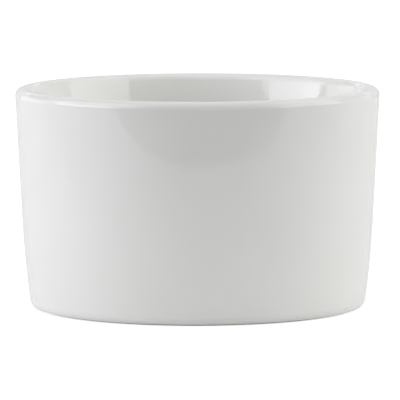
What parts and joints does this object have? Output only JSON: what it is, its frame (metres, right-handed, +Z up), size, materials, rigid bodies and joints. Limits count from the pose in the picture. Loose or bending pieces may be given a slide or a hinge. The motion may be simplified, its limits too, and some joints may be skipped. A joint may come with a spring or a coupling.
{
  "type": "ramekin",
  "caption": "Plain round glazed porcelain ramekin with a slightly flared wall, round rim, rounded heel and bare foot ring.",
  "frame": {"origin": "centre of the foot ring's contact plane, on the vessel's axis", "axes": "+Z up along the axis of symmetry, X and Y level and free to turn because the vessel is round"},
  "size_m": [0.095, 0.095, 0.0575],
  "materials": {
    "bare_porcelain": "matte, wiped bare",
    "white_glaze": "gloss"
  },
  "bodies": {
    "root": {"clay_body": "bare_porcelain", "glaze_coat": "white_glaze", "underside_glaze": "white_glaze"}
  },
  "joints": []
}
